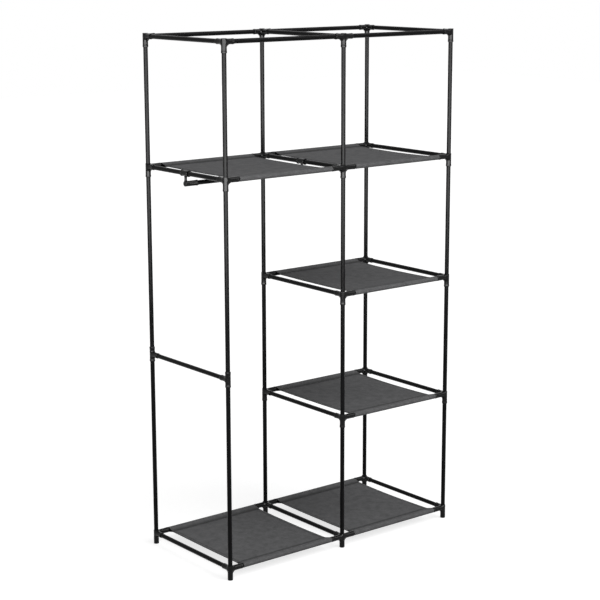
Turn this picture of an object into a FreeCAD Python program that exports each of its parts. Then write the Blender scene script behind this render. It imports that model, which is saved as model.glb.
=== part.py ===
# Plug-together wardrobe frame: steel tubes in moulded connectors, with fabric shelves and a hanging rail.
# Millimetres. +X to the right, +Y to the back, +Z up. The origin is on the floor under the frame's centre.
import FreeCAD
import Part
import Sketcher

import math
import os
import re

from FreeCAD import Placement, Rotation, Vector

SIZES = {
    # Frame, measured between tube axes
    "bay_width": 448,
    "bay_depth": 408,
    "shelf_pitch": 400,
    "brace_rise": 600,
    "foot_height": 36,
    # Tubes
    "tube_diameter": 14,
    "tube_wall": 0.5,
    # Connectors
    "socket_fit": 0.1,
    "socket_wall": 1.3,
    "socket_seat": 10,
    "end_gap": 0.3,
    "shelf_reach": 46,
    "side_reach": 34,
    "leg_drop": 33,
    "crown_height": 9,
    "cap_wall": 4,
    "stop_drop": 12,
    "stop_web": 2,
    "brace_collar": 24,
    "collar_wall": 1.6,
    "gusset_size": 14,
    "gusset_thickness": 4,
    "foot_chamfer": 2,
    # Fabric shelves
    "fabric_thickness": 0.8,
    "sleeve_gap": 0.3,
    "sleeve_seam": 28,
    "seam_fold": 5,
    "sleeve_end_gap": 1.5,
    "shelf_sag": 2,
    "edge_curve": 1.5,
    # Hanging rail and its holders
    "hang_drop": 32,
    "ring_length": 36,
    "ring_gap": 0.3,
    "ring_wall": 1.6,
    "lip_height": 1.2,
    "lip_length": 3,
    "hanger_width": 8,
    "hanger_depth": 9,
    "cup_length": 47,
    "cup_end": 3,
}

TUBE = "tube_diameter / 2"
GRIP = f"({TUBE} + socket_fit)"
SOCKET = f"({GRIP} + socket_wall)"
WEB_ROOT = f"({GRIP} + socket_wall / 2)"
SEAT = "(socket_seat + end_gap)"
RING = f"({TUBE} + ring_gap + ring_wall)"
SLEEVE = f"({TUBE} + sleeve_gap)"
SHELF_WIDTH = "(bay_width - 2 * (shelf_reach + sleeve_end_gap))"
PANEL_DEPTH = "(bay_depth - 2 * sleeve_seam)"
EDGE_RADIUS = f"(({PANEL_DEPTH} / 2) ^ 2 + edge_curve ^ 2) / (2 * edge_curve)"
PAST = 1  # how far a cut runs past the face that it opens
BORE_SIDES = 8  # flats that grip a tube in its socket

COLUMNS = {"left": "-bay_width", "centre": "0", "right": "bay_width"}
BAYS = {"left": "-bay_width / 2", "right": "bay_width / 2"}
ROWS = {"front": "-bay_depth / 2", "back": "bay_depth / 2"}
LEVELS = {
    "base": "foot_height",
    "brace": "foot_height + brace_rise",
    "lower": "foot_height + shelf_pitch",
    "middle": "foot_height + 2 * shelf_pitch",
    "upper": "foot_height + 3 * shelf_pitch",
    "top": "foot_height + 4 * shelf_pitch",
}
UPRIGHTS = {
    "left": ("base", "brace", "upper", "top"),
    "centre": ("base", "lower", "middle", "upper", "top"),
    "right": ("base", "lower", "middle", "upper", "top"),
}
SHELVES = {"base": ("left", "right"), "lower": ("right",), "middle": ("right",), "upper": ("left", "right")}
LONG_RAILS = SHELVES | {"top": ("left", "right")}
SIDE_RAILS = {
    "base": ("left", "centre", "right"),
    "brace": ("left",),
    "lower": ("centre", "right"),
    "middle": ("centre", "right"),
    "upper": ("left", "centre", "right"),
    "top": ("left", "centre", "right"),
}
# How far a connector's barrel runs above and below its level, and its wall
SHELF_BARREL = ("crown_height", "leg_drop", "socket_wall")
BASE_BARREL = ("crown_height", "foot_height", "socket_wall")
BRACE_BARREL = ("brace_collar", "brace_collar", "collar_wall")
BARRELS = dict.fromkeys(LEVELS, SHELF_BARREL) | {"base": BASE_BARREL, "brace": BRACE_BARREL}
# Where the uprights above and below a level stop, measured up from the level
SHELF_STOPS = {"above": "-stop_drop", "below": "-stop_drop - stop_web"}
BRACE_STOPS = {"above": "stop_web / 2", "below": "-stop_web / 2"}
TOP_STOPS = {"below": "crown_height - cap_wall"}
STOPS = dict.fromkeys(LEVELS, SHELF_STOPS) | {"brace": BRACE_STOPS, "top": TOP_STOPS}

UP = Vector(0, 0, 1)
ALONG = {
    "+x": Rotation(UP, Vector(1, 0, 0)),
    "-x": Rotation(UP, Vector(-1, 0, 0)),
    "+y": Rotation(UP, Vector(0, 1, 0)),
    "+z": Rotation(),
    "-z": Rotation(Vector(1, 0, 0), 180),
}
TURN = {"+x": 0, "+y": 90, "-x": 180}
# Planes that repeat a connector at the other uprights of its level
FRONT_AND_BACK = ("XZ_Plane",)
FOUR_WAYS = (*FRONT_AND_BACK, "YZ_Plane")

doc = FreeCAD.newDocument("wardrobe_frame")
sheet = doc.addObject("Spreadsheet::Sheet", "sizes")
for row, (alias, value) in enumerate(SIZES.items(), start=1):
    sheet.set(f"A{row}", alias)
    sheet.set(f"B{row}", str(value))
    sheet.setAlias(f"B{row}", alias)
doc.recompute()

ALIAS = re.compile(r"\b(" + "|".join(SIZES) + r")\b")


def bind(thing, name, formula):
    """Tie a property to a formula of sheet aliases."""
    thing.setExpression(name, ALIAS.sub(r"sizes.\1", formula))


def place(thing, spot, rotation=Rotation(), name="Placement"):
    """Set a placement whose three coordinates are formulas."""
    setattr(thing, name, Placement(Vector(), rotation))
    for letter, formula in zip("xyz", spot):
        bind(thing, f"{name}.Base.{letter}", formula)


def offset(spot, along, distance):
    """The formulas of a point some way from another along an axis."""
    sign, axis = along
    moved = list(spot)
    moved["xyz".index(axis)] += f" {sign} ({distance})"
    return moved


def new_body(label, spot, rotation=Rotation()):
    body = doc.addObject("PartDesign::Body", label)
    body.Label = label
    place(body, spot, rotation)
    return body


def origin(body, role):
    return next(feature for feature in body.Origin.OriginFeatures if feature.Role == role)


def new_sketch(body, name, plane):
    sketch = body.newObject("Sketcher::SketchObject", name)
    sketch.AttachmentSupport = (origin(body, plane), [""])
    sketch.MapMode = "FlatFace"
    return sketch


def fix(sketch, *constraint):
    return sketch.addConstraint(Sketcher.Constraint(*constraint))


def drive(sketch, name, formula, *constraint):
    """Add a dimension to a sketch and tie it to a formula."""
    sketch.renameConstraint(fix(sketch, *constraint), name)
    bind(sketch, f"Constraints.{name}", formula)


def chain(sketch, edges, smooth=()):
    """Add edges to a sketch in a closed loop, with the joints that are named smooth made tangent."""
    added = sketch.addGeometry(edges)
    for number, edge in enumerate(added):
        following = added[(number + 1) % len(added)]
        gaps = {
            (sketch.getPoint(edge, end) - sketch.getPoint(following, start)).Length: (end, start)
            for end in (1, 2) for start in (1, 2)
        }
        end, start = gaps[min(gaps)]
        fix(sketch, "Tangent" if number in smooth else "Coincident", edge, end, following, start)
    return added


def primitive(body, kind, name, spot, along, **sizes):
    """Add a PartDesign primitive whose sizes are formulas."""
    feature = body.newObject(f"PartDesign::{kind}", name)
    place(feature, spot, ALONG[along])
    for size, formula in sizes.items():
        bind(feature, size, formula)
    return feature


def pad(body, sketch, length, side_type):
    feature = body.newObject("PartDesign::Pad", f"{sketch.Label}_pad")
    feature.Profile = sketch
    feature.SideType = side_type
    bind(feature, "Length", length)
    return feature


def mirror(body, plane):
    """Repeat all that the body holds on the other side of one of its planes."""
    doc.recompute()
    copy = body.newObject("PartDesign::Mirrored", "other_side")
    copy.TransformMode = "Whole shape"
    copy.MirrorPlane = (origin(body, plane), [""])
    body.Tip = copy


def tube(label, spot, along, length, paired=False):
    """A steel tube, alone or with its twin in the back row."""
    body = new_body(label, spot, ALONG[along])
    sketch = new_sketch(body, "wall", "XY_Plane")
    for name, formula in (("outside", TUBE), ("inside", f"{TUBE} - tube_wall")):
        circle = sketch.addGeometry(Part.Circle(Vector(), UP, 1))
        fix(sketch, "Coincident", circle, 3, -1, 1)
        drive(sketch, name, formula, "Radius", circle, 1)
    wall = pad(body, sketch, length, "One side")
    if paired:
        twin = body.newObject("PartDesign::LinearPattern", "twin")
        twin.Originals = [wall]
        twin.Direction = (origin(body, "Y_Axis"), [""])
        twin.Occurrences = 2
        bind(twin, "Length", "bay_depth")
        body.Tip = twin


def bore(body, spot, along, start, end):
    """A socket for a tube: its flats grip the tube and its bottom stops it."""
    flats = primitive(
        body, "SubtractivePrism", "bore", offset(spot, along, start), along,
        Circumradius=f"{GRIP} / cos(180 / {BORE_SIDES})", Height=f"({end}) - ({start}) + {PAST}",
    )
    flats.Polygon = BORE_SIDES


def gusset(body, spot, arm):
    """A thin web with a hollow edge, in the corner between an arm and the barrel below it."""
    x, y, z = spot
    sketch = new_sketch(body, "gusset", "XZ_Plane")
    place(sketch, (x, z, f"-({y})"), Rotation(Vector(0, 1, 0), TURN[arm]), "AttachmentOffset")
    root, size = SIZES["tube_diameter"], SIZES["gusset_size"]
    out = root + size
    corners = ((0, 0), (out, 0), (out, root), (root, out), (0, out))
    axis, tip, under, beside, low = (Vector(across, -down, 0) for across, down in corners)
    hollow_circle = Part.Circle(Vector(out, -out, 0), UP, size)
    top, end, hollow, foot, back = chain(sketch, [
        Part.LineSegment(axis, tip),
        Part.LineSegment(tip, under),
        Part.ArcOfCircle(hollow_circle, math.pi / 2, math.pi),
        Part.LineSegment(beside, low),
        Part.LineSegment(low, axis),
    ])
    for edge, kind in ((top, "Horizontal"), (end, "Vertical"), (foot, "Horizontal"), (back, "Vertical")):
        fix(sketch, kind, edge)
    fix(sketch, "Coincident", top, 1, -1, 1)
    fix(sketch, "Vertical", hollow, 3, hollow, 1)
    fix(sketch, "Horizontal", hollow, 3, hollow, 2)
    drive(sketch, "arm_root", WEB_ROOT, "Distance", end, root)
    drive(sketch, "barrel_root", WEB_ROOT, "Distance", foot, root)
    drive(sketch, "hollow", "gusset_size", "Radius", hollow, size)
    pad(body, sketch, "gusset_thickness", "Symmetric")


def chamfer_foot(body):
    """Break the edge round the underside of a foot."""
    doc.recompute()
    solid = body.Tip
    ground = solid.Shape.BoundBox.ZMin
    rim = [
        f"Edge{number}" for number, edge in enumerate(solid.Shape.Edges, start=1)
        if edge.BoundBox.ZMax - ground < SIZES["foot_chamfer"]
    ]
    chamfer = body.newObject("PartDesign::Chamfer", "foot_edge")
    chamfer.Base = (solid, rim)
    bind(chamfer, "Size", "foot_chamfer")


def connector(label, level, centre, anchor, arms, mirrors):
    """A moulded connector at one upright, repeated at the uprights across the body's mirror planes."""
    body = new_body(label, (centre, "0", LEVELS[level]))
    spot = (anchor, ROWS["front"], "0")
    head, drop, wall = BARRELS[level]
    primitive(
        body, "AdditiveCylinder", "barrel", offset(spot, "-z", drop), "+z",
        Radius=f"{GRIP} + {wall}", Height=f"{head} + {drop}",
    )
    for arm, reach in arms.items():
        primitive(body, "AdditiveCylinder", "arm", spot, arm, Radius=SOCKET, Height=reach)
        if level != "brace":
            gusset(body, spot, arm)
    for arm, reach in arms.items():
        bore(body, spot, arm, "socket_seat", reach)
    if level != "top":
        bore(body, spot, "+z", STOPS[level]["above"], head)
    if level != "base":
        bore(body, spot, "-z", f"-({STOPS[level]['below']})", drop)
    else:
        chamfer_foot(body)
    for plane in mirrors:
        mirror(body, plane)


def sleeve(axis, radius, reach, rise):
    """The cloth's way round a rail: an arc, and its tangents from two points beside it."""
    span = math.atan2(rise, reach) + math.acos(radius / math.hypot(reach, rise))
    bend = Part.ArcOfCircle(Part.Circle(axis, UP, radius), span, 2 * math.pi - span)
    above, below = axis + Vector(reach, rise, 0), axis + Vector(reach, -rise, 0)
    return [Part.LineSegment(above, bend.StartPoint), bend, Part.LineSegment(bend.EndPoint, below)]


def shelf_section(body):
    """The front half of a shelf: half of its sagging panel, and the sewn sleeve round the front rail."""
    sketch = new_sketch(body, "section", "YZ_Plane")
    half, seam, cloth, sag = (
        SIZES["bay_depth"] / 2, SIZES["sleeve_seam"], SIZES["fabric_thickness"], SIZES["shelf_sag"]
    )
    inner = SIZES["tube_diameter"] / 2 + SIZES["sleeve_gap"]
    fold = seam - SIZES["seam_fold"]
    axis = Vector(-half, 0, 0)
    chord = half - seam
    turn = math.atan2(chord, (chord ** 2 - sag ** 2) / (2 * sag))
    radius = (chord ** 2 + sag ** 2) / (2 * sag)
    high, low = (
        Part.ArcOfCircle(
            Part.Circle(Vector(0, side * cloth / 2 - sag + radius, 0), UP, radius),
            -math.pi / 2 - turn, -math.pi / 2,
        )
        for side in (1, -1)
    )
    middle = Part.LineSegment(low.EndPoint, high.EndPoint)
    over, bend, under, lower, mid, upper = chain(
        sketch, [*sleeve(axis, inner + cloth, seam, cloth / 2), low, middle, high], smooth=(0, 1),
    )
    fix(sketch, "PointOnObject", bend, 3, -1)
    fix(sketch, "Symmetric", over, 1, under, 2, -1)
    fix(sketch, "PointOnObject", mid, 1, -2)
    fix(sketch, "Vertical", mid)
    for arc in (lower, upper):
        fix(sketch, "PointOnObject", arc, 3, -2)
    drive(sketch, "rail", "bay_depth / 2", "DistanceX", bend, 3, -1, 1, half)
    drive(sketch, "outside", f"{SLEEVE} + fabric_thickness", "Radius", bend, inner + cloth)
    drive(sketch, "seam", "sleeve_seam", "DistanceX", bend, 3, over, 1, seam)
    drive(sketch, "cloth", "fabric_thickness", "DistanceY", under, 2, over, 1, cloth)
    drive(sketch, "panel", "fabric_thickness", "Distance", mid, cloth)
    drive(sketch, "sag", "shelf_sag", "DistanceY", mid, 2, over, 1, sag)
    rise, hollow, fall = chain(sketch, sleeve(axis, inner, fold, 0), smooth=(0, 1))
    fix(sketch, "Coincident", hollow, 3, bend, 3)
    fix(sketch, "PointOnObject", rise, 1, -1)
    drive(sketch, "inside", SLEEVE, "Radius", hollow, inner)
    drive(sketch, "fold", "sleeve_seam - seam_fold", "DistanceX", hollow, 3, fall, 2, fold)
    return sketch


def shelf(label, bay, level):
    """A fabric shelf between two rails, with side edges that curve in."""
    body = new_body(label, (BAYS[bay], "0", LEVELS[level]))
    pad(body, shelf_section(body), SHELF_WIDTH, "Symmetric")
    mirror(body, "XZ_Plane")
    room = "(shelf_sag + tube_diameter)"
    for side in ("-x", "+x"):
        spot = offset(("0", "0", f"-{room}"), side, f"{SHELF_WIDTH} / 2 + {EDGE_RADIUS} - edge_curve")
        primitive(body, "SubtractiveCylinder", "edge", spot, "+z", Radius=EDGE_RADIUS, Height=f"2 * {room}")


def holders(label):
    """The hanging rail's holders: each a ring on a side rail, with a cup on a short hanger below it."""
    body = new_body(label, (BAYS["left"], "0", LEVELS["upper"]))
    rail = ("-bay_width / 2", "0", "0")
    ring_end = offset(rail, "-y", "ring_length / 2")
    primitive(body, "AdditiveCylinder", "ring", ring_end, "+y", Radius=RING, Height="ring_length")
    for lip_end in (ring_end, offset(rail, "+y", "ring_length / 2 - lip_length")):
        primitive(
            body, "AdditiveCylinder", "lip", lip_end, "+y",
            Radius=f"{RING} + lip_height", Height="lip_length",
        )
    outer_face = offset(rail, "-x", "hanger_width / 2")
    cup = offset(outer_face, "-z", "hang_drop")
    primitive(
        body, "AdditiveBox", "hanger", offset(cup, "-y", "hanger_depth / 2"), "+z",
        Length="hanger_width", Width="hanger_depth", Height="hang_drop",
    )
    primitive(body, "AdditiveCylinder", "cup", cup, "+x", Radius=SOCKET, Height="cup_length")
    primitive(
        body, "SubtractiveCylinder", "ring_bore", offset(ring_end, "-y", PAST), "+y",
        Radius=f"{TUBE} + ring_gap", Height=f"ring_length + 2 * {PAST}",
    )
    bore(body, cup, "+x", "cup_end", "cup_length")
    mirror(body, "YZ_Plane")


for column, levels in UPRIGHTS.items():
    for below, above in zip(levels, levels[1:]):
        start = f"{LEVELS[below]} + ({STOPS[below]['above']}) + end_gap"
        end = f"{LEVELS[above]} + ({STOPS[above]['below']}) - end_gap"
        spot = (COLUMNS[column], ROWS["front"], start)
        tube(f"{column}_uprights_{below}_to_{above}", spot, "+z", f"({end}) - ({start})", paired=True)

for level, bays in LONG_RAILS.items():
    for bay in bays:
        for row in ROWS:
            spot = (f"{BAYS[bay]} - bay_width / 2 + {SEAT}", ROWS[row], LEVELS[level])
            tube(f"{level}_{row}_rail_{bay}", spot, "+x", f"bay_width - 2 * {SEAT}")

for level, columns in SIDE_RAILS.items():
    for column in columns:
        spot = (COLUMNS[column], f"{ROWS['front']} + {SEAT}", LEVELS[level])
        tube(f"{level}_side_rail_{column}", spot, "+y", f"bay_depth - 2 * {SEAT}")

for level in ("base", "upper", "top"):
    reach = "side_reach" if level == "top" else "shelf_reach"
    corner = {"+x": reach, "+y": "side_reach"}
    tee = {"+x": reach, "-x": reach, "+y": "side_reach"}
    connector(f"{level}_corner_connectors", level, "0", COLUMNS["left"], corner, FOUR_WAYS)
    connector(f"{level}_tee_connectors", level, "0", COLUMNS["centre"], tee, FRONT_AND_BACK)
for level in ("lower", "middle"):
    corner = {"+x": "shelf_reach", "+y": "side_reach"}
    connector(f"{level}_corner_connectors", level, BAYS["right"], BAYS["left"], corner, FOUR_WAYS)
connector("brace_tee_connectors", "brace", COLUMNS["left"], "0", {"+y": "side_reach"}, FRONT_AND_BACK)

for level, bays in SHELVES.items():
    for bay in bays:
        shelf(f"{level}_shelf_{bay}", bay, level)

holders("hanging_rail_holders")
cup_floor = "hanger_width / 2 - cup_end - end_gap"
spot = (f"{COLUMNS['left']} - ({cup_floor})", "0", f"{LEVELS['upper']} - hang_drop")
tube("hanging_rail", spot, "+x", f"bay_width + 2 * ({cup_floor})")

doc.recompute()
for thing in doc.Objects:
    if {"Invalid", "Error"} & set(thing.State):
        raise RuntimeError(f"{thing.Label} failed: {thing.State}")
bodies = doc.findObjects("PartDesign::Body")
for body in bodies:
    if body.Shape.isNull() or not body.Shape.isValid() or not body.Shape.Solids:
        raise RuntimeError(f"{body.Label} has no valid solid")
os.makedirs("parts", exist_ok=True)
for body in bodies:
    body.Shape.exportStep(f"parts/{body.Label}.step")
print(f"{len(bodies)} nodes, {sum(len(body.Shape.Solids) for body in bodies)} solids")
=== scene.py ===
"""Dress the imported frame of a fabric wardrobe: coated tubes, moulded connectors and sewn shelves."""
import math

import bmesh
import bpy
from bpy.props import FloatProperty, FloatVectorProperty, PointerProperty
from mathutils import Matrix, Vector, noise


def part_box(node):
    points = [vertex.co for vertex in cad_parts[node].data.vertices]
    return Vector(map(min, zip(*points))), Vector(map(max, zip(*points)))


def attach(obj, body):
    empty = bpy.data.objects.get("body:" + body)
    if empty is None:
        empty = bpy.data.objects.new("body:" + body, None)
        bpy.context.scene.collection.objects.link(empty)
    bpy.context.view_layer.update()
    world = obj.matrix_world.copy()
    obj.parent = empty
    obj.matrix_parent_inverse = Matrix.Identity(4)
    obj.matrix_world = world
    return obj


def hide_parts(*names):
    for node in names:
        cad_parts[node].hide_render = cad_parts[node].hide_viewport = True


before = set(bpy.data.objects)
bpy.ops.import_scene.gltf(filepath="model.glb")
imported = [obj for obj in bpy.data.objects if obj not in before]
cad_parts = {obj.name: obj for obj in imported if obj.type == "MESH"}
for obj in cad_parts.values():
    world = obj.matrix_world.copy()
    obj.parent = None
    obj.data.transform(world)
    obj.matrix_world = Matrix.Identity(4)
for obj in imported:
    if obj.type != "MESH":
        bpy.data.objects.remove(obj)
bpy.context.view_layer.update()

bl_info = {
    "name": "Fabric wardrobe",
    "version": (1, 0, 0),
    "blender": (4, 5, 0),
    "location": "View3D > Sidebar > Wardrobe",
    "description": "Coats the tubes, moulds the connectors and sews the shelves of a fabric wardrobe",
    "category": "Object",
}

MM = 0.001
ORIGIN = (0, 0, 0)
RIGHT, BACK, UP = Vector((1, 0, 0)), Vector((0, 1, 0)), Vector((0, 0, 1))


def middle(node):
    """The middle of a frame node's box."""
    low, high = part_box(node)
    return (Vector(low) + Vector(high)) / 2


# Where the uprights, rails and bays of the frame are
COLUMNS = {name: middle(f"{name}_uprights_upper_to_top").x for name in ("left", "centre", "right")}
ROWS = {name: middle(f"base_{name}_rail_left").y for name in ("front", "back")}
LEVELS = {name: middle(f"{name}_side_rail_right").z for name in ("base", "lower", "middle", "upper", "top")}
LEVELS["brace"] = middle("brace_side_rail_left").z
BAYS = {
    "left": (COLUMNS["left"] + COLUMNS["centre"]) / 2,
    "right": (COLUMNS["centre"] + COLUMNS["right"]) / 2,
}
HOLDERS = "hanging_rail_holders"
SHELVES = [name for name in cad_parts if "_shelf_" in name]
TUBES = [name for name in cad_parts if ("rail" in name or "uprights" in name) and name != HOLDERS]

# What fits round a tube
RAIL_LOW, RAIL_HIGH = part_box("top_front_rail_left")
TUBE_RADIUS = (RAIL_HIGH[2] - RAIL_LOW[2]) / 2
SOCKET_RADIUS = TUBE_RADIUS + 0.1 * MM
SLEEVE_RADIUS = TUBE_RADIUS + 0.3 * MM
# Air between two layers of cloth
LAYER_GAP = 0.15 * MM
# Points nearer than this are one, in a shape as drawn and in one that was fused or cut
DRAWN_MERGE, CUT_MERGE = 0.01 * MM, 0.005 * MM
# How near a face or a point is to a place that it counts as being at
NEAR = 0.1 * MM


def linear(hex_colour):
    """An sRGB hex value as linear light."""
    channels = (int(hex_colour[at:at + 2], 16) / 255 for at in (1, 3, 5))
    return tuple(c / 12.92 if c <= 0.04045 else ((c + 0.055) / 1.055) ** 2.4 for c in channels)


def length(name, description, size):
    """A length that shows in the sidebar, given in millimetres."""
    return FloatProperty(name=name, description=description, default=size * MM, unit="LENGTH", precision=5)


def colour(name, description, hex_colour):
    """A colour that shows in the sidebar."""
    return FloatVectorProperty(
        name=name, description=description, default=linear(hex_colour), subtype="COLOR", min=0, max=1,
    )


class WardrobeColours(bpy.types.PropertyGroup):
    """Colours of the wardrobe's materials."""
    tube: colour("Tubes", "Powder coat on the steel tubes", "#0b0b0c")
    connector: colour("Connectors", "Moulded plastic of the connectors and rail holders", "#0b0b0c")
    cloth: colour("Shelf fabric", "Nonwoven fabric of the shelves", "#575758")
    thread: colour("Thread", "Sewing thread in the seams and hems", "#3c3c3d")


class WardrobeConnectors(bpy.types.PropertyGroup):
    """Sizes of the moulded connectors, from the middle where their sockets cross."""
    shelf_arm: length("Shelf arm", "Reach of the arms that hold a shelf's rails", 46)
    side_arm: length("Side arm", "Reach of the arms that hold a side rail", 34)
    leg: length("Leg", "Reach of the socket below the arms", 33)
    foot: length("Foot", "Height of the arms above the floor at the base", 36)
    crown: length("Crown", "Reach of the socket above the arms", 9)
    collar: length("Collar", "Reach of the brace connectors along the upright, both ways", 24)
    seat: length("Seat", "Where the tubes in the arms stop", 10)
    stop: length("Stop", "How far below the arms the upright's tube stops", 12)
    wall: length("Wall", "Thickness of a socket's wall", 1.3)
    rim: length("Rim", "How far the rim round a mouth stands out", 0.5)
    web: length("Web", "Radius of the hollow edge of the webs under the arms", 14)
    web_thickness: length("Web thickness", "Thickness of the webs under the arms", 4)


class WardrobeHolders(bpy.types.PropertyGroup):
    """Sizes of the holders that hang the clothes rail from the side rails."""
    ring: length("Ring", "Length of the ring on the side rail", 36)
    ring_gap: length("Ring gap", "Play between the ring and the side rail", 0.3)
    ring_wall: length("Ring wall", "Thickness of the ring", 1.6)
    lip: length("Lip", "How far the lips at the ring's ends stand out", 1.2)
    drop: length("Drop", "From the side rail's axis down to the clothes rail's", 32)
    cup: length("Cup", "Length of the cup on the clothes rail's end", 47)
    floor: length("Cup floor", "Thickness of the closed end of the cup", 3)


class WardrobeShelves(bpy.types.PropertyGroup):
    """Sizes of the sewn shelves."""
    width: length("Width", "Width of the sleeves along a rail", 353)
    cloth: length("Cloth", "Thickness of the fabric", 0.8)
    seam: length("Seam", "From a rail's axis to the stitch line that closes its sleeve", 28)
    flap: length("Flap", "Cloth under the panel past the stitch line", 8)
    sag: length("Sag", "How far the panel hangs in the middle", 2)
    edge: length("Edge curve", "How far a side edge draws in at half depth", 1.5)
    hem: length("Hem", "Width of the folded hem along a side", 10)
    stitch: length("Stitch", "Spacing of the stitches", 3.5)


def deselect():
    """Leave edit mode with nothing selected."""
    if bpy.context.mode != "OBJECT":
        bpy.ops.object.mode_set(mode="OBJECT")
    bpy.ops.object.select_all(action="DESELECT")


def activate(*pieces):
    """Select pieces, the first one active."""
    deselect()
    for piece in pieces:
        piece.select_set(True)
    bpy.context.view_layer.objects.active = pieces[0]


def begin(name):
    """Name the primitive just added and open it in edit mode."""
    piece = bpy.context.active_object
    piece.name = piece.data.name = name
    bpy.ops.object.mode_set(mode="EDIT")
    return piece


def pick(piece, kind, test):
    """In edit mode, select only the faces, edges or verts that pass a test."""
    mesh = bmesh.from_edit_mesh(piece.data)
    mesh.normal_update()
    chosen = [part for part in getattr(mesh, kind) if test(part)]
    bpy.ops.mesh.select_all(action="DESELECT")
    for part in chosen:
        part.select_set(True)
    mesh.select_flush_mode()
    bmesh.update_edit_mesh(piece.data)
    return len(chosen)


def close_up(threshold):
    """In edit mode, merge points that lie together and turn every face outwards."""
    bpy.ops.mesh.select_all(action="SELECT")
    bpy.ops.mesh.remove_doubles(threshold=threshold)
    bpy.ops.mesh.dissolve_degenerate(threshold=threshold)
    bpy.ops.mesh.normals_make_consistent(inside=False)
    deselect()


def finish_modifier(piece, kind, **settings):
    """Add a modifier to a piece and apply it."""
    activate(piece)
    bpy.ops.object.modifier_add(type=kind)
    modifier = piece.modifiers[-1]
    for name, value in settings.items():
        setattr(modifier, name, value)
    bpy.ops.object.modifier_apply(modifier=modifier.name)


def combine(piece, other, operation):
    """Fuse another closed shape into a piece, or cut it out of the piece."""
    finish_modifier(piece, "BOOLEAN", object=other, operation=operation, solver="EXACT")
    bpy.data.objects.remove(other)
    bpy.ops.object.mode_set(mode="EDIT")
    close_up(CUT_MERGE)


def soften(piece):
    """Shade a piece smooth, apart from its sharp edges."""
    activate(piece)
    bpy.ops.object.shade_smooth_by_angle(angle=math.radians(40))


def copy_to(piece, name, place, flips):
    """A copy with its own mesh, mirrored where a flip is -1 and moved to its place."""
    activate(piece)
    bpy.ops.object.duplicate(linked=False)
    twin = begin(name)
    bpy.ops.mesh.select_all(action="SELECT")
    bpy.ops.transform.resize(value=flips, center_override=ORIGIN)
    bpy.ops.mesh.normals_make_consistent(inside=False)
    bpy.ops.transform.translate(value=place)
    deselect()
    return twin


def mount(piece, body, slot, material, *nodes):
    """Give a finished piece its material, its body and the frame nodes that it stands for."""
    piece.data.materials.clear()
    piece.data.materials.append(material)
    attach(piece, body)
    if nodes:
        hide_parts(*nodes)


def add(tree, kind, settings=None, inputs=None):
    """Add a node with its settings, and its inputs as plain values or as (node, output) links."""
    made = tree.nodes.new(kind)
    for name, value in (settings or {}).items():
        setattr(made, name, value)
    for name, value in (inputs or {}).items():
        if isinstance(value, tuple) and isinstance(value[0], bpy.types.Node):
            tree.links.new(value[0].outputs[value[1]], made.inputs[name])
        else:
            made.inputs[name].default_value = value
    return made


def begin_material(name):
    """An empty node material."""
    material = bpy.data.materials.new(name)
    material.use_nodes = True
    material.node_tree.nodes.clear()
    return material, material.node_tree


def material_of(make, rgb):
    """A material by the function that makes it, made once and then shared."""
    return bpy.data.materials.get(make.__name__) or make(rgb)


def shade(rgb, factor):
    """A colour made lighter or darker, with full alpha."""
    return tuple(min(1, channel * factor) for channel in rgb) + (1,)


def powder_coated_steel(rgb):
    """Black powder coat baked on steel tube: satin, with the soft orange peel of melted powder."""
    material, tree = begin_material("powder_coated_steel")
    at = add(tree, "ShaderNodeTexCoord")
    # Orange peel on a baked coat is about 2.5 mm from crest to crest.
    peel = add(
        tree, "ShaderNodeTexNoise",
        inputs={"Vector": (at, "Object"), "Scale": 1 / (2.5 * MM), "Detail": 1.0},
    )
    # Handling leaves slightly duller and shinier stretches, about 60 mm long.
    rubbed = add(
        tree, "ShaderNodeTexNoise",
        inputs={"Vector": (at, "Object"), "Scale": 1 / (60 * MM), "Detail": 3.0},
    )
    tint = add(
        tree, "ShaderNodeMix", {"data_type": "RGBA"},
        {0: (rubbed, "Fac"), 6: shade(rgb, 0.75), 7: shade(rgb, 1.25)},
    )
    gloss = add(
        tree, "ShaderNodeMapRange",
        inputs={"Value": (rubbed, "Fac"), "From Min": 0.3, "From Max": 0.7, "To Min": 0.16, "To Max": 0.26},
    )
    bump = add(
        tree, "ShaderNodeBump", inputs={"Height": (peel, "Fac"), "Strength": 0.25, "Distance": 0.1 * MM},
    )
    shader = add(tree, "ShaderNodeBsdfPrincipled", inputs={
        "Base Color": (tint, 2), "Roughness": (gloss, "Result"), "Normal": (bump, "Normal"),
        "IOR": 1.5, "Specular IOR Level": 0.05,
    })
    add(tree, "ShaderNodeOutputMaterial", inputs={"Surface": (shader, "BSDF")})
    return material


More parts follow.
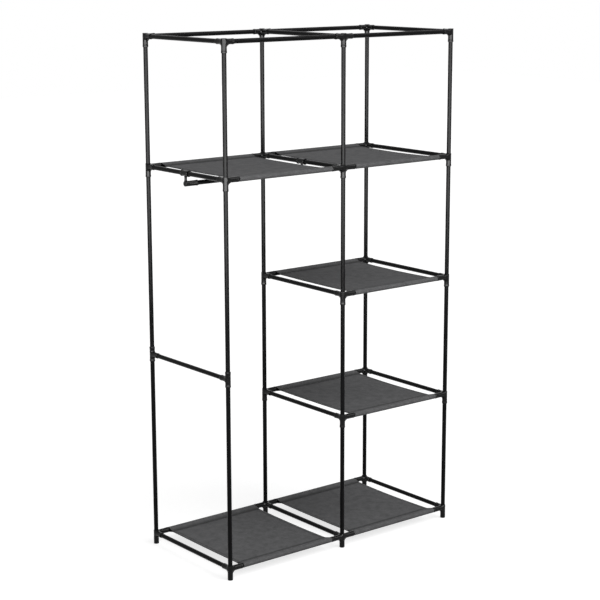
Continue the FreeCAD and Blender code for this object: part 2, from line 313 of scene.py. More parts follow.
def moulded_polypropylene(rgb):
    """Black injection-moulded polypropylene: a fine spark-eroded grain with a low gloss."""
    material, tree = begin_material("moulded_polypropylene")
    at = add(tree, "ShaderNodeTexCoord")
    # The mould's grain is about 0.3 mm and is drawn at 0.9 mm, so that it shows.
    grain = add(
        tree, "ShaderNodeTexNoise",
        inputs={"Vector": (at, "Object"), "Scale": 1 / (0.9 * MM), "Detail": 2.0},
    )
    # Flow of the melt leaves faint lighter patches about 15 mm across.
    flow = add(
        tree, "ShaderNodeTexNoise",
        inputs={"Vector": (at, "Object"), "Scale": 1 / (15 * MM), "Detail": 2.0},
    )
    tint = add(
        tree, "ShaderNodeMix", {"data_type": "RGBA"},
        {0: (flow, "Fac"), 6: shade(rgb, 0.7), 7: shade(rgb, 1.3)},
    )
    gloss = add(
        tree, "ShaderNodeMapRange",
        inputs={"Value": (grain, "Fac"), "From Min": 0.3, "From Max": 0.7, "To Min": 0.16, "To Max": 0.26},
    )
    bump = add(
        tree, "ShaderNodeBump", inputs={"Height": (grain, "Fac"), "Strength": 0.3, "Distance": 0.05 * MM},
    )
    shader = add(tree, "ShaderNodeBsdfPrincipled", inputs={
        "Base Color": (tint, 2), "Roughness": (gloss, "Result"), "Normal": (bump, "Normal"),
        "IOR": 1.49, "Specular IOR Level": 0.12,
    })
    add(tree, "ShaderNodeOutputMaterial", inputs={"Surface": (shader, "BSDF")})
    return material


def spunbond_fabric(rgb):
    """Grey spunbond polypropylene: cloudy fibres, pressed with a grid of small bonding points, with painted
    shade along the seams and hems.
    """
    material, tree = begin_material("spunbond_fabric")
    at = add(tree, "ShaderNodeUVMap", {"uv_map": "cut"})
    # Bonding points are about 1.2 mm apart and are drawn at 2.4 mm, so that they show.
    points = add(
        tree, "ShaderNodeTexVoronoi", {"voronoi_dimensions": "2D"},
        {"Vector": (at, "UV"), "Scale": 1 / (2.4 * MM), "Randomness": 0.15},
    )
    # The web of fibres is thicker and thinner in clouds about 5 to 30 mm across.
    clouds = add(
        tree, "ShaderNodeTexNoise", {"noise_dimensions": "2D"},
        {"Vector": (at, "UV"), "Scale": 1 / (28 * MM), "Detail": 6.0, "Roughness": 0.75},
    )
    # Single fibres are far finer than a millimetre and are drawn as strands of about 1.5 mm.
    fibres = add(
        tree, "ShaderNodeTexNoise", {"noise_dimensions": "2D"},
        {"Vector": (at, "UV"), "Scale": 1 / (1.5 * MM), "Detail": 3.0, "Distortion": 1.5},
    )
    mottled = add(
        tree, "ShaderNodeMix", {"data_type": "RGBA"},
        {0: (clouds, "Fac"), 6: shade(rgb, 0.5), 7: shade(rgb, 1.5)},
    )
    dimple = add(
        tree, "ShaderNodeMapRange", {"interpolation_type": "SMOOTHSTEP"},
        {"Value": (points, "Distance"), "From Min": 0.15, "From Max": 0.4, "To Min": 0.86, "To Max": 1.0},
    )
    dotted = add(
        tree, "ShaderNodeMix", {"data_type": "RGBA", "blend_type": "MULTIPLY"},
        {0: 1.0, 6: (mottled, 2), 7: (dimple, "Result")},
    )
    # Painted shade: the cloth is darkened along the seams and hems, standing in for the shadow in the groove
    # beside each sleeve.
    pressed = add(tree, "ShaderNodeAttribute", {"attribute_name": "pressed"})
    seam_shaded = add(
        tree, "ShaderNodeMix", {"data_type": "RGBA"},
        {0: (pressed, "Fac"), 6: (dotted, 2), 7: shade(rgb, 0.3)},
    )
    relief = add(
        tree, "ShaderNodeMath", {"operation": "MULTIPLY_ADD"},
        {0: (fibres, "Fac"), 1: 0.4, 2: (dimple, "Result")},
    )
    bump = add(
        tree, "ShaderNodeBump", inputs={"Height": (relief, "Value"), "Strength": 0.35, "Distance": 0.15 * MM},
    )
    shader = add(tree, "ShaderNodeBsdfPrincipled", inputs={
        "Base Color": (seam_shaded, 2), "Roughness": 0.85, "Normal": (bump, "Normal"),
        "IOR": 1.49, "Specular IOR Level": 0.06,
    })
    add(tree, "ShaderNodeOutputMaterial", inputs={"Surface": (shader, "BSDF")})
    return material


def spun_polyester_thread(rgb):
    """Grey spun polyester thread: matt, with the slant of its twisted plies."""
    material, tree = begin_material("spun_polyester_thread")
    at = add(tree, "ShaderNodeTexCoord")
    # Plies are about 0.3 mm apart and are drawn at 0.6 mm. A wave texture has 20 bands to its unit.
    plies = add(
        tree, "ShaderNodeTexWave", {"bands_direction": "DIAGONAL"},
        {"Vector": (at, "Object"), "Scale": 1 / (0.6 * MM) / 20, "Distortion": 1.0},
    )
    tint = add(
        tree, "ShaderNodeMix", {"data_type": "RGBA"},
        {0: (plies, "Fac"), 6: shade(rgb, 0.7), 7: shade(rgb, 1.3)},
    )
    shader = add(
        tree, "ShaderNodeBsdfPrincipled", inputs={"Base Color": (tint, 2), "Roughness": 0.7, "IOR": 1.5},
    )
    add(tree, "ShaderNodeOutputMaterial", inputs={"Surface": (shader, "BSDF")})
    return material


# A connector is a cage of square sections that smooths to round ones, of this share of their half width.
WALL_ROUND, BORE_ROUND = 0.93, 0.917
BORE_CAGE = (TUBE_RADIUS + 0.2 * MM) / BORE_ROUND
# Rounding at the mouth of a socket, inwards and down, and at its bottom
MOUTH_EDGE, MOUTH_DEPTH, BOTTOM_EDGE = 0.5 * MM, 0.8 * MM, 1 * MM
# Where a wall begins, past the smoothed crossing of the arms
WALL_START, COLLAR_START = 15 * MM, 12 * MM


def wall_cage(sizes):
    """Half the width of the cage that smooths to a socket's wall."""
    return (SOCKET_RADIUS + sizes.wall) / WALL_ROUND


def grow(piece, along, half, rings):
    """Extrude a block's face that looks along an axis through rings, each a distance and a half width."""
    reach = half
    found = pick(piece, "faces", lambda face: (face.calc_center_median() - along * reach).length < NEAR)
    if found != 1:
        raise RuntimeError(f"{piece.name} has {found} faces to extrude along {tuple(along)}")
    for distance, width in rings:
        bpy.ops.mesh.extrude_region_move(TRANSFORM_OT_translate={"value": along * (distance - reach)})
        factor = width / half
        bpy.ops.transform.resize(
            value=[1 if abs(part) > 0.5 else factor for part in along], center_override=along * distance,
        )
        reach, half = distance, width


def socket_rings(sizes, reach, bottom, start=WALL_START):
    """The outline of a socket: out along its wall, over the rim at its mouth, and in to its bottom."""
    wall = wall_cage(sizes)
    rim = wall + sizes.rim / WALL_ROUND
    rim_foot, rim_start, rim_end = reach - 7 * MM, reach - 5.5 * MM, reach - 1.2 * MM
    plain_wall = [(start, wall)] if start < rim_foot - 2 * MM else []
    return plain_wall + [
        (rim_foot, wall), (rim_start, rim), (rim_end, rim), (reach, rim - MOUTH_EDGE),
        (reach, BORE_CAGE + MOUTH_EDGE), (reach - MOUTH_DEPTH, BORE_CAGE),
        (bottom + BOTTOM_EDGE, BORE_CAGE), (bottom, BORE_CAGE),
    ]


def connector_ends(sizes):
    """What each kind of connector has above and below its arms."""
    wall = wall_cage(sizes)
    # Smoothing takes about this much off the crown's rounded edge.
    rounding = 0.6 * MM
    crown = sizes.crown + rounding
    open_crown = [
        (crown, wall), (crown, BORE_CAGE + MOUTH_EDGE), (crown - MOUTH_DEPTH, BORE_CAGE),
        (BOTTOM_EDGE - sizes.stop, BORE_CAGE), (-sizes.stop, BORE_CAGE),
    ]
    cap = [(crown, wall), (crown, wall * 0.8)]
    stop_thickness = 2 * MM
    leg = socket_rings(sizes, sizes.leg, sizes.stop + stop_thickness)
    foot = [
        (WALL_START, wall), (sizes.foot - 2 * MM, wall), (sizes.foot - 0.5 * MM, wall),
        (sizes.foot, wall - rounding), (sizes.foot, wall * 0.7),
    ]
    collar_stop = 1 * MM
    collar = socket_rings(sizes, sizes.collar, collar_stop, COLLAR_START)
    return {
        "base": (open_crown, foot),
        "shelf": (open_crown, leg),
        "top": (cap, leg),
        "brace": (collar, collar),
    }


def web(arm, sizes):
    """A thin web with a hollow edge, in the corner between an arm and the leg below it."""
    down = -UP
    root = SOCKET_RADIUS + sizes.wall / 2
    out = root + sizes.web
    deselect()
    bpy.ops.mesh.primitive_plane_add(size=sizes.web_thickness, location=arm * out + down * root)
    piece = begin("web")
    pick(piece, "verts", lambda vert: vert.co.dot(arm) < 0)
    bpy.ops.mesh.delete(type="VERT")
    bpy.ops.mesh.select_all(action="SELECT")
    bpy.ops.transform.translate(value=arm * -sizes.web_thickness / 2)
    # The object's own place is still the plane's middle, so the turn's centre is given in the scene.
    bpy.ops.mesh.spin(steps=10, angle=math.pi / 2, center=(arm + down) * out, axis=arm.cross(down))
    bpy.ops.mesh.select_all(action="SELECT")
    bpy.ops.mesh.extrude_region_move(TRANSFORM_OT_translate={"value": ORIGIN})
    mesh = bmesh.from_edit_mesh(piece.data)
    arc = [(vert.index, vert.co + piece.location) for vert in mesh.verts if vert.select]
    for flat, other in ((down, arm), (arm, down)):
        near = {index for index, spot in arc if spot.dot(other) > spot.dot(flat) - NEAR}
        pick(piece, "verts", lambda vert: vert.index in near)
        bpy.ops.transform.resize(
            value=[0 if abs(part) > 0.5 else 1 for part in flat], center_override=flat * root,
        )
    close_up(DRAWN_MERGE)
    activate(piece)
    bpy.ops.object.transform_apply(location=True, rotation=True, scale=True)
    return piece


def mould(name, sizes, arms, ends, webbed=True):
    """A connector: arms, crown and leg drawn out of a block, smoothed, with webs under its arms."""
    half = wall_cage(sizes)
    above, below = ends
    deselect()
    bpy.ops.mesh.primitive_cube_add(size=2 * half)
    piece = begin(name)
    for arm, reach in arms:
        grow(piece, arm, half, socket_rings(sizes, reach, sizes.seat))
    grow(piece, UP, half, above)
    grow(piece, -UP, half, below)
    deselect()
    finish_modifier(piece, "SUBSURF", levels=2, render_levels=2)
    for arm, _ in arms if webbed else ():
        combine(piece, web(arm, sizes), "UNION")
    soften(piece)
    return piece


def set_connectors(model, level, group, columns, plastic):
    """Copies of a connector at both rows of some columns, its arms turned into the frame."""
    for row, y in ROWS.items():
        for column in columns:
            flips = (-1 if column == "right" else 1, -1 if row == "back" else 1, 1)
            place = (COLUMNS[column], y, LEVELS[level])
            piece = copy_to(model, f"{level}_connector_{row}_{column}", place, flips)
            mount(piece, "frame", "connector_plastic", plastic, f"{level}_{group}_connectors")


class WARDROBE_OT_coat_tubes(bpy.types.Operator):
    """Powder coat every steel tube of the frame"""
    bl_idname = "wardrobe.coat_tubes"
    bl_label = "Coat the tubes"

    def execute(self, context):
        coat = material_of(powder_coated_steel, context.scene.wardrobe_colours.tube)
        for name in TUBES:
            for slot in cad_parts[name].material_slots:
                slot.material = coat
        return {"FINISHED"}


class WARDROBE_OT_mould_connectors(bpy.types.Operator):
    """Mould the connectors that hold the tubes, one of each kind, and set copies on the uprights"""
    bl_idname = "wardrobe.mould_connectors"
    bl_label = "Mould the connectors"

    def execute(self, context):
        sizes = context.scene.wardrobe_connectors
        plastic = material_of(moulded_polypropylene, context.scene.wardrobe_colours.connector)
        ends = connector_ends(sizes)
        side = (BACK, sizes.side_arm)
        kinds = (
            ("base", ("base",), sizes.shelf_arm),
            ("shelf", ("lower", "middle", "upper"), sizes.shelf_arm),
            ("top", ("top",), sizes.side_arm),
        )
        for kind, levels, reach in kinds:
            corner = mould("corner", sizes, [(RIGHT, reach), side], ends[kind])
            for level in levels:
                outer = "centre" if level in ("lower", "middle") else "left"
                set_connectors(corner, level, "corner", (outer, "right"), plastic)
            bpy.data.objects.remove(corner)
            tee = mould("tee", sizes, [(RIGHT, reach), side, (-RIGHT, reach)], ends[kind])
            set_connectors(tee, levels[-1], "tee", ("centre",), plastic)
            bpy.data.objects.remove(tee)
        brace = mould("brace", sizes, [side], ends["brace"], webbed=False)
        set_connectors(brace, "brace", "tee", ("left",), plastic)
        bpy.data.objects.remove(brace)
        return {"FINISHED"}


# Sides of a turned shape
TURN_STEPS = 40


def lathe(name, outline, along):
    """Turn an outline of (distance along, radius) points round an axis through the middle."""
    deselect()
    bpy.ops.mesh.primitive_plane_add(size=1 * MM)
    piece = begin(name)
    bpy.ops.mesh.select_all(action="SELECT")
    bpy.ops.mesh.merge(type="CENTER")
    spots = [along * distance + UP * radius for distance, radius in outline]
    bpy.ops.transform.translate(value=spots[0])
    for last, spot in zip(spots, spots[1:]):
        bpy.ops.mesh.extrude_vertices_move(TRANSFORM_OT_translate={"value": spot - last})
    bpy.ops.mesh.select_all(action="SELECT")
    bpy.ops.mesh.spin(steps=TURN_STEPS, angle=2 * math.pi, center=ORIGIN, axis=along)
    close_up(DRAWN_MERGE)
    return piece


def lower(piece, drop):
    """Move a piece's mesh down."""
    activate(piece)
    bpy.ops.object.mode_set(mode="EDIT")
    bpy.ops.mesh.select_all(action="SELECT")
    bpy.ops.transform.translate(value=-UP * drop)
    deselect()
    return piece


def lipped_ring(sizes, bore):
    """The solid of a holder's ring, with a rounded lip at each end."""
    end, lip_length, edge = sizes.ring / 2, 3 * MM, 0.6 * MM
    outside = bore + sizes.ring_wall
    brim = outside + sizes.lip
    half = [
        (end, 0), (end, brim - edge), (end - edge, brim), (end - lip_length + edge, brim),
        (end - lip_length, brim - 0.5 * MM), (end - lip_length - 0.7 * MM, outside),
    ]
    return lathe("holder", half + [(-distance, radius) for distance, radius in reversed(half)], BACK)


def waisted_hanger():
    """A slim bar with rounded corners that widens towards both ends."""
    half, corner = 3 * MM, 1.2 * MM
    widening = [(7 * MM, 3.4 * MM), (11 * MM, 4.4 * MM)]
    deselect()
    bpy.ops.mesh.primitive_cube_add(size=2 * half)
    hanger = begin("hanger")
    bpy.ops.mesh.select_all(action="SELECT")
    bpy.ops.transform.resize(value=(1, 1.2, 1), center_override=ORIGIN)
    for way in (UP, -UP):
        grow(hanger, way, half, widening)
    pick(hanger, "edges", lambda edge: abs(edge.verts[0].co.z - edge.verts[1].co.z) > 1 * MM)
    bpy.ops.mesh.bevel(offset=corner, segments=3, affect="EDGES")
    deselect()
    return hanger


def mould_holder(sizes, wall):
    """A rail holder: a lipped ring on the side rail, a waisted hanger and a cup for the clothes rail."""
    bore = TUBE_RADIUS + sizes.ring_gap
    piece = lipped_ring(sizes, bore)
    combine(piece, lower(waisted_hanger(), sizes.drop / 2), "UNION")

    outside, edge, rim = SOCKET_RADIUS + wall, 0.8 * MM, 0.6 * MM
    start = -4 * MM
    mouth = start + sizes.cup
    cup = lathe("cup", [
        (start, 0), (start, outside - edge), (start + edge, outside),
        (mouth - 7 * MM, outside), (mouth - 5.5 * MM, outside + rim),
        (mouth - edge, outside + rim), (mouth, outside), (mouth, 0),
    ], RIGHT)
    combine(piece, lower(cup, sizes.drop), "UNION")

    past = 1 * MM
    end = sizes.ring / 2 + past
    combine(piece, lathe("ring_bore", [(-end, 0), (-end, bore), (end, bore), (end, 0)], BACK), "DIFFERENCE")
    floor = start + sizes.floor
    cup_bore = lathe("cup_bore", [
        (floor, 0), (floor, SOCKET_RADIUS), (mouth - 1 * MM, SOCKET_RADIUS),
        (mouth + past, SOCKET_RADIUS + rim), (mouth + past, 0),
    ], RIGHT)
    combine(piece, lower(cup_bore, sizes.drop), "DIFFERENCE")
    soften(piece)
    return piece


class WARDROBE_OT_mould_holders(bpy.types.Operator):
    """Mould the two holders that hang the clothes rail between the side rails"""
    bl_idname = "wardrobe.mould_holders"
    bl_label = "Mould the rail holders"

    def execute(self, context):
        plastic = material_of(moulded_polypropylene, context.scene.wardrobe_colours.connector)
        holder = mould_holder(context.scene.wardrobe_holders, context.scene.wardrobe_connectors.wall)
        for column, flip in (("left", 1), ("centre", -1)):
            place = (COLUMNS[column], 0, LEVELS["upper"])
            piece = copy_to(holder, f"hanging_rail_holder_{column}", place, (flip, 1, 1))
            mount(piece, "hanging_rail", "connector_plastic", plastic, HOLDERS)
        bpy.data.objects.remove(holder)
        return {"FINISHED"}


# Points across a shelf's cloth, and how many of them in from the side its hem is stitched
CLOTH_COLUMNS = 73
HEM_COLUMN = 2
# Points along the panel, evenly spaced and then closer up to the seam
PANEL_STEP = 5 * MM
NEAR_SEAM = [step * MM for step in (16, 12, 8.5, 5.5, 3, 1.2, 0)]
# Waves that sewn nonwoven keeps: their spacing and height, and how much closer and how high the ripples are
WAVE_SPACING, WAVE_HEIGHT = 70 * MM, 1.2 * MM
RIPPLE_CLOSER, RIPPLE_HEIGHT = 2.7, 0.4 * MM
# Puckers along a seam: their spacing, length and height, and how far beside the seam they fade out
PUCKER_SPACING, PUCKER_LENGTH = 14 * MM, 60 * MM
PUCKER_HEIGHT, PUCKER_REACH = 0.25 * MM, 16 * MM
# How far the painted shade of a seam reaches on its sleeve and on the panel, and how dark the painted shade
# along a hem is
SLEEVE_SHADE_REACH, PANEL_SHADE_REACH, HEM_SHADE = 16 * MM, 7 * MM, 0.6
# A stitch: its share of the spacing, its thread's width, thickness and rounding, and its height off the cloth
STITCH_SHARE, THREAD_WIDTH, THREAD_THICKNESS = 0.6, 0.5 * MM, 0.4 * MM
THREAD_ROUNDING, STITCH_HEIGHT = 0.12 * MM, 0.1 * MM
# How long the cloth settles, in frames, and the furthest that a point may go
SETTLE_FRAMES, SETTLE_REACH = 24, 1 * MM


def seam_place(sizes):
    """How far the seams lie from the middle of a shelf."""
    return (ROWS["back"] - ROWS["front"]) / 2 - sizes.seam


def half_way(sizes):
    """The cloth's way from the panel's middle to its flap's end: distance out, height, part of the shelf."""
    rail = (ROWS["back"] - ROWS["front"]) / 2
    seam = seam_place(sizes)
    radius = SLEEVE_RADIUS + sizes.cloth / 2
    layer = sizes.cloth + LAYER_GAP
    even_steps = int((seam - NEAR_SEAM[0] - 2 * MM) / PANEL_STEP) + 1
    panel = [PANEL_STEP * step for step in range(even_steps)] + [seam - step for step in NEAR_SEAM]
    way = [(out, -sizes.sag * (1 - (out / seam) ** 2), "panel") for out in panel]
    lift = math.acos(radius / sizes.seam)
    top = Vector((rail - radius * math.cos(lift), radius * math.sin(lift)))
    for share in (0.05, 0.12, 0.22, 0.4, 0.6, 0.8):
        point = Vector((seam, 0)).lerp(top, share)
        way.append((point.x, point.y, "sleeve"))
    for step in range(15):
        turn = lift + (2 * math.pi - 2 * lift) * step / 14
        way.append((rail - radius * math.cos(turn), radius * math.sin(turn), "sleeve"))
    low = Vector((top.x, -top.y))
    for share in (0.25, 0.5, 0.75, 0.9, 1):
        point = low.lerp(Vector((seam, -layer)), share)
        way.append((point.x, point.y, "sleeve"))
    for share in (0.25, 0.625, 1):
        out = seam - sizes.flap * share
        way.append((out, -sizes.sag * (1 - (out / seam) ** 2) - layer, "flap"))
    return way


def whole_way(sizes):
    """The cloth's way from the front flap to the back flap, with its length along the cloth."""
    half = half_way(sizes)
    way = [(-out, height, part) for out, height, part in reversed(half)] + half[1:]
    along, rows = 0, []
    for at, (out, height, part) in enumerate(way):
        if at:
            along += math.dist(way[at - 1][:2], (out, height))
        rows.append((along, out, height, part))
    return rows


def unevenness(across, out, part, seam, seed):
    """How far a point stands off a flat lie, by the panel's waves and the puckers along the seams."""
    # Each shelf takes its own slices of the noise, well apart.
    wave_slice, pucker_slice = 7.3 * seed, 3.1 * seed
    spot = Vector((across, out, 0)) / WAVE_SPACING + Vector((0, 0, wave_slice))
    wave = WAVE_HEIGHT * noise.noise(spot) + RIPPLE_HEIGHT * noise.noise(spot * RIPPLE_CLOSER)
    depth = min(1, abs(out) / seam)
    wave *= 1 - depth ** 6 if part == "panel" else 0
    pucker = PUCKER_HEIGHT * noise.noise(Vector((across / PUCKER_SPACING, out / PUCKER_LENGTH, pucker_slice)))
    pucker *= max(0, 1 - abs(abs(out) - seam) / PUCKER_REACH)
    return wave + pucker


def press(out, part, column, seam):
    """How much painted shade a point of the cloth gets along the seams and hems, from 0 to 1."""
    beside = abs(out) - seam
    reach = SLEEVE_SHADE_REACH if beside > 0 else PANEL_SHADE_REACH
    seam_shade = max(0, 1 - abs(beside) / reach) if part != "flap" else 0
    in_hem = part == "panel" and column in (HEM_COLUMN, CLOTH_COLUMNS - 1 - HEM_COLUMN)
    return max(seam_shade, HEM_SHADE if in_hem else 0)


def lay_cloth(name, sizes, seed):
    """A shelf's cloth before it settles: round both rails, with the small waves of sewn nonwoven."""
    rows = whole_way(sizes)
    seam = seam_place(sizes)
    level, _, bay = name.split("_")
    deselect()
    bpy.ops.mesh.primitive_grid_add(x_subdivisions=CLOTH_COLUMNS - 1, y_subdivisions=len(rows) - 1, size=1)
    cloth = bpy.context.active_object
    cloth.name = cloth.data.name = name.replace("_shelf_", "_shelf_cloth_")
    held = cloth.vertex_groups.new(name="held")
    flat, pressed = [], []
    for vert in cloth.data.vertices:
        row, column = divmod(vert.index, CLOTH_COLUMNS)
        along, out, height, part = rows[row]
        side = column / (CLOTH_COLUMNS - 1) * 2 - 1
        depth = min(1, abs(out) / seam)
        draw = sizes.edge * (1 - depth ** 2) ** 0.6 if part != "sleeve" else 0
        across = side * (sizes.width / 2 - draw)
        rise = height + unevenness(across, out, part, seam, seed)
        vert.co = (BAYS[bay] + across, out, LEVELS[level] + rise)
        # The pattern of each shelf is read half a metre further on.
        flat.append((side * sizes.width / 2 + 0.5 * seed, along))
        # Painted shade along the seams and hems, which the fabric's material darkens the cloth by.
        pressed.append(press(out, part, column, seam))
        # Only the panel inside its seams is free to settle.
        if part != "panel" or depth > 0.999:
            held.add([vert.index], 1, "REPLACE")
    cloth.data.attributes.new("pressed", "FLOAT", "POINT").data.foreach_set("value", pressed)
    cut = cloth.data.uv_layers[0]
    cut.name = "cut"
    for loop in cloth.data.loops:
        cut.data[loop.index].uv = flat[loop.vertex_index]
    return cloth


def settle(cloths):
    """Let the panels hang between their sleeves, and keep each point near where it was laid."""
    laid = {cloth: [vert.co.copy() for vert in cloth.data.vertices] for cloth in cloths}
    for cloth in cloths:
        activate(cloth)
        bpy.ops.object.modifier_add(type="CLOTH")
        settings = cloth.modifiers[-1].settings
        settings.quality = 6
        settings.mass = 0.0001
        settings.tension_stiffness = 40
        settings.compression_stiffness = 20
        settings.shear_stiffness = 10
        settings.bending_stiffness = 0.4
        settings.air_damping = 4
        settings.vertex_group_mass = "held"
    for step in range(1, SETTLE_FRAMES + 1):
        bpy.context.scene.frame_set(step)
    for cloth in cloths:
        activate(cloth)
        bpy.ops.object.modifier_apply(modifier=cloth.modifiers[-1].name)
        for vert, start in zip(cloth.data.vertices, laid[cloth]):
            move = vert.co - start
            if move.length > SETTLE_REACH:
                vert.co = start + move.normalized() * SETTLE_REACH
    bpy.context.scene.frame_set(1)


def stitch_line(points, lift, sizes):
    """A row of stitches along points, lifted off the cloth."""
    line = bpy.data.curves.new("needle_line", "CURVE")
    line.dimensions = "3D"
    spline = line.splines.new("POLY")
    spline.points.add(len(points) - 1)
    for spot, point in zip(spline.points, points):
        spot.co = (point.x, point.y, point.z + lift, 1)
    run = sum((b - a).length for a, b in zip(points, points[1:]))
    path = bpy.data.objects.new("needle_line", line)
    bpy.context.scene.collection.objects.link(path)
    deselect()
    bpy.ops.mesh.primitive_cube_add(size=1)
    stitch = begin("stitch")
    bpy.ops.mesh.select_all(action="SELECT")
    bpy.ops.transform.resize(
        value=(sizes.stitch * STITCH_SHARE, THREAD_WIDTH, THREAD_THICKNESS), center_override=ORIGIN,
    )
    bpy.ops.mesh.bevel(offset=THREAD_ROUNDING, segments=1, affect="EDGES")
    bpy.ops.transform.translate(value=(sizes.stitch / 2, 0, 0))
    deselect()
    finish_modifier(
        stitch, "ARRAY", fit_type="FIXED_COUNT", count=int(run / sizes.stitch), use_relative_offset=False,
        use_constant_offset=True, constant_offset_displace=(sizes.stitch, 0, 0),
    )
    finish_modifier(stitch, "CURVE", object=path, deform_axis="POS_X")
    bpy.data.objects.remove(path)
    return stitch


def panel_rows(sizes):
    """Which rows of the cloth's points are the panel between the seams."""
    return [at for at, (_, _, _, part) in enumerate(whole_way(sizes)) if part == "panel"]


def sew(cloth, sizes):
    """Stitch the two sleeve seams and the two side hems, above and below the cloth."""
    panel = panel_rows(sizes)
    spots = [vert.co.copy() for vert in cloth.data.vertices]
    lines = []
    for row in (panel[0], panel[-1]):
        lines.append(spots[row * CLOTH_COLUMNS + 1:(row + 1) * CLOTH_COLUMNS - 1])
    for column in (HEM_COLUMN, CLOTH_COLUMNS - 1 - HEM_COLUMN):
        lines.append([spots[row * CLOTH_COLUMNS + column] for row in panel])
    proud = sizes.cloth / 2 + STITCH_HEIGHT
    under = -proud - sizes.cloth - LAYER_GAP
    stitches = [stitch_line(points, lift, sizes) for points in lines for lift in (proud, under)]
    activate(*stitches)
    bpy.ops.object.join()
    deselect()
    stitches[0].name = stitches[0].data.name = cloth.name.replace("cloth", "stitches")
    return stitches[0]


def fold_hems(cloth, sizes):
    """Fold the panel's side edges under."""
    panel = set(panel_rows(sizes))
    layer = sizes.cloth + LAYER_GAP
    activate(cloth)
    bpy.ops.object.mode_set(mode="EDIT")
    bpy.ops.mesh.select_mode(type="EDGE")
    for side, inwards in ((0, 1), (CLOTH_COLUMNS - 1, -1)):
        edge_points = {row * CLOTH_COLUMNS + side for row in panel}
        pick(cloth, "edges", lambda edge: all(vert.index in edge_points for vert in edge.verts))
        bpy.ops.mesh.extrude_region_move(TRANSFORM_OT_translate={"value": (0, 0, -layer)})
        bpy.ops.mesh.extrude_region_move(TRANSFORM_OT_translate={"value": (inwards * sizes.hem, 0, 0)})
    bpy.ops.mesh.select_mode(type="VERT")
    deselect()


class WARDROBE_OT_sew_shelves(bpy.types.Operator):
    """Hang, hem and sew the fabric shelves between their front and back rails"""
    bl_idname = "wardrobe.sew_shelves"
    bl_label = "Sew the shelves"

    def execute(self, context):
        sizes = context.scene.wardrobe_shelves
        fabric = material_of(spunbond_fabric, context.scene.wardrobe_colours.cloth)
        thread = material_of(spun_polyester_thread, context.scene.wardrobe_colours.thread)
        cloths = [lay_cloth(name, sizes, seed) for seed, name in enumerate(SHELVES, start=1)]
        settle(cloths)
        cut_length = whole_way(sizes)[-1][0]
        for name, cloth in zip(SHELVES, cloths):
            stitches = sew(cloth, sizes)
            fold_hems(cloth, sizes)
            finish_modifier(cloth, "SOLIDIFY", thickness=sizes.cloth, offset=0)
            activate(cloth)
            bpy.ops.object.shade_smooth()
            cloth.vertex_groups.clear()
            mount(cloth, "frame", "shelf_fabric", fabric, name)
            mount(stitches, "frame", "shelf_fabric", thread)
        return {"FINISHED"}


WHITE = (1, 1, 1, 1)
# How light the paper floor is under the lamps, and how much it glows where it is seen, to show as white
PAPER, PAPER_GLOW = (0.42, 0.42, 0.42, 1), 0.75
# The light that the surroundings give
SKY_LIGHT = 0.36
# Each lamp's kind, place, aim and settings
LAMPS = {
    "window": ("SUN", (1.1, -2.1, 2.6), ORIGIN, {"energy": 2.1, "angle": math.radians(50)}),
    "front_softbox": ("AREA", (-0.9, -2.1, 1.05), (0, 0, 1.2), {
        "energy": 8, "shape": "RECTANGLE", "size": 4.0, "size_y": 0.35, "spread": math.radians(80),
    }),
    # A card beside the camera, which shows only in gloss and gives the uprights their shine
    "reflector": ("AREA", (-1.56, -1.95, 1.19), (0, 0, 1.19), {
        "energy": 577, "shape": "RECTANGLE", "size": 8.0, "size_y": 1.42,
    }),
}
CAMERA_PLACE, CAMERA_LENS = (-3.208, -4.010, 1.890), 97.4
CAMERA_YAW, CAMERA_PITCH, CAMERA_ROLL = 0.6734, 0.212, -0.0026


def where_seen(tree):
    """A node that is 1 where the surroundings are seen, straight, in a gloss or through something clear."""
    rays = add(tree, "ShaderNodeLightPath")
    seen = add(
        tree, "ShaderNodeMath", {"operation": "MAXIMUM"},
        {0: (rays, "Is Camera Ray"), 1: (rays, "Is Glossy Ray")},
    )
    return add(
        tree, "ShaderNodeMath", {"operation": "MAXIMUM"},
        {0: (seen, "Value"), 1: (rays, "Is Transmission Ray")},
    )


def white_paper_sweep():
    """Matt white paper: it takes the object's shadow and shows as plain white elsewhere."""
    material, tree = begin_material("white_paper_sweep")
    glow = add(
        tree, "ShaderNodeMath", {"operation": "MULTIPLY"}, {0: (where_seen(tree), "Value"), 1: PAPER_GLOW},
    )
    paper = add(tree, "ShaderNodeBsdfDiffuse", inputs={"Color": PAPER})
    white = add(tree, "ShaderNodeEmission", inputs={"Color": WHITE, "Strength": (glow, "Value")})
    both = add(tree, "ShaderNodeAddShader", inputs={0: (paper, "BSDF"), 1: (white, "Emission")})
    add(tree, "ShaderNodeOutputMaterial", inputs={"Surface": (both, "Shader")})
    return material


def studio_world():
    """White surroundings where they are seen, and a softer light from all round."""
    world = bpy.data.worlds.new("studio")
    world.use_nodes = True
    tree = world.node_tree
    tree.nodes.clear()
    strength = add(
        tree, "ShaderNodeMapRange",
        inputs={"Value": (where_seen(tree), "Value"), "To Min": SKY_LIGHT, "To Max": 1.0},
    )
    sky = add(tree, "ShaderNodeBackground", inputs={"Color": WHITE, "Strength": (strength, "Result")})
    add(tree, "ShaderNodeOutputWorld", inputs={"Surface": (sky, "Background")})
    return world


def hang_lamp(scene, name):
    """One of the lamps, turned to its aim."""
    kind, place, aim, settings = LAMPS[name]
    lamp = bpy.data.lights.new(name, kind)
    for setting, value in settings.items():
        setattr(lamp, setting, value)
    light = bpy.data.objects.new(name, lamp)
    light.location = place
    light.rotation_euler = (Vector(aim) - Vector(place)).to_track_quat("-Z", "Y").to_euler()
    light.visible_diffuse = name != "reflector"
    scene.collection.objects.link(light)


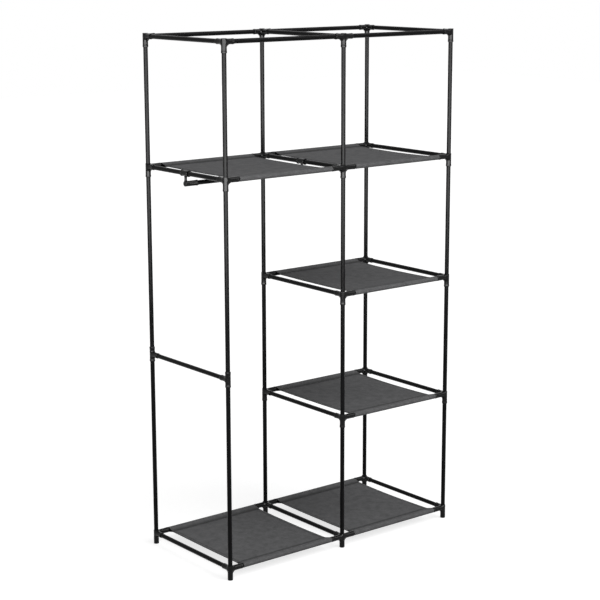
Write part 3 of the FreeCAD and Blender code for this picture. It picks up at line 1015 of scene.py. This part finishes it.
def place_camera(scene):
    """The camera, in front of the hanging bay's corner and a little above the top."""
    eye = bpy.data.cameras.new("camera")
    eye.sensor_width = 36
    eye.lens = CAMERA_LENS
    eye.clip_end = 100
    camera = bpy.data.objects.new("camera", eye)
    level = math.cos(CAMERA_PITCH)
    ahead = Vector((math.sin(CAMERA_YAW) * level, math.cos(CAMERA_YAW) * level, -math.sin(CAMERA_PITCH)))
    turn = ahead.to_track_quat("-Z", "Y").to_matrix().to_4x4()
    camera.matrix_world = Matrix.Translation(CAMERA_PLACE) @ turn @ Matrix.Rotation(CAMERA_ROLL, 4, "Z")
    scene.collection.objects.link(camera)
    scene.camera = camera


class WARDROBE_OT_set_stage(bpy.types.Operator):
    """Set a pale floor, soft studio light and the camera"""
    bl_idname = "wardrobe.set_stage"
    bl_label = "Set the stage"

    def execute(self, context):
        deselect()
        bpy.ops.mesh.primitive_plane_add(size=30)
        floor = bpy.context.active_object
        floor.name = floor.data.name = "floor"
        floor.data.materials.append(white_paper_sweep())
        context.scene.world = studio_world()
        for name in LAMPS:
            hang_lamp(context.scene, name)
        place_camera(context.scene)
        context.scene.view_settings.view_transform = "Standard"
        return {"FINISHED"}


class WARDROBE_PT_build(bpy.types.Panel):
    """Lists the steps that dress the wardrobe"""
    bl_idname = "WARDROBE_PT_build"
    bl_label = "Fabric wardrobe"
    bl_space_type = "VIEW_3D"
    bl_region_type = "UI"
    bl_category = "Wardrobe"

    def draw(self, context):
        for group in GROUPS:
            sizes = getattr(context.scene, group)
            box = self.layout.box()
            for name in sizes.bl_rna.properties.keys():
                if name not in ("rna_type", "name"):
                    box.prop(sizes, name)
        for step in STEPS:
            self.layout.operator(step.bl_idname)


STEPS = (
    WARDROBE_OT_set_stage,
    WARDROBE_OT_coat_tubes,
    WARDROBE_OT_mould_connectors,
    WARDROBE_OT_mould_holders,
    WARDROBE_OT_sew_shelves,
)
GROUPS = {
    "wardrobe_colours": WardrobeColours,
    "wardrobe_connectors": WardrobeConnectors,
    "wardrobe_holders": WardrobeHolders,
    "wardrobe_shelves": WardrobeShelves,
}


def register():
    """Register the groups, steps and panel."""
    for kind in (*GROUPS.values(), *STEPS, WARDROBE_PT_build):
        bpy.utils.register_class(kind)
    for name, kind in GROUPS.items():
        setattr(bpy.types.Scene, name, PointerProperty(type=kind))


def unregister():
    """Take the groups, steps and panel away again."""
    for name in GROUPS:
        delattr(bpy.types.Scene, name)
    for kind in (WARDROBE_PT_build, *reversed(STEPS), *reversed(GROUPS.values())):
        bpy.utils.unregister_class(kind)


def main():
    """Run every step on the loaded frame."""
    register()
    bpy.ops.wardrobe.set_stage()
    bpy.ops.wardrobe.coat_tubes()
    bpy.ops.wardrobe.mould_connectors()
    bpy.ops.wardrobe.mould_holders()
    bpy.ops.wardrobe.sew_shelves()


if __name__ == "__main__":
    main()
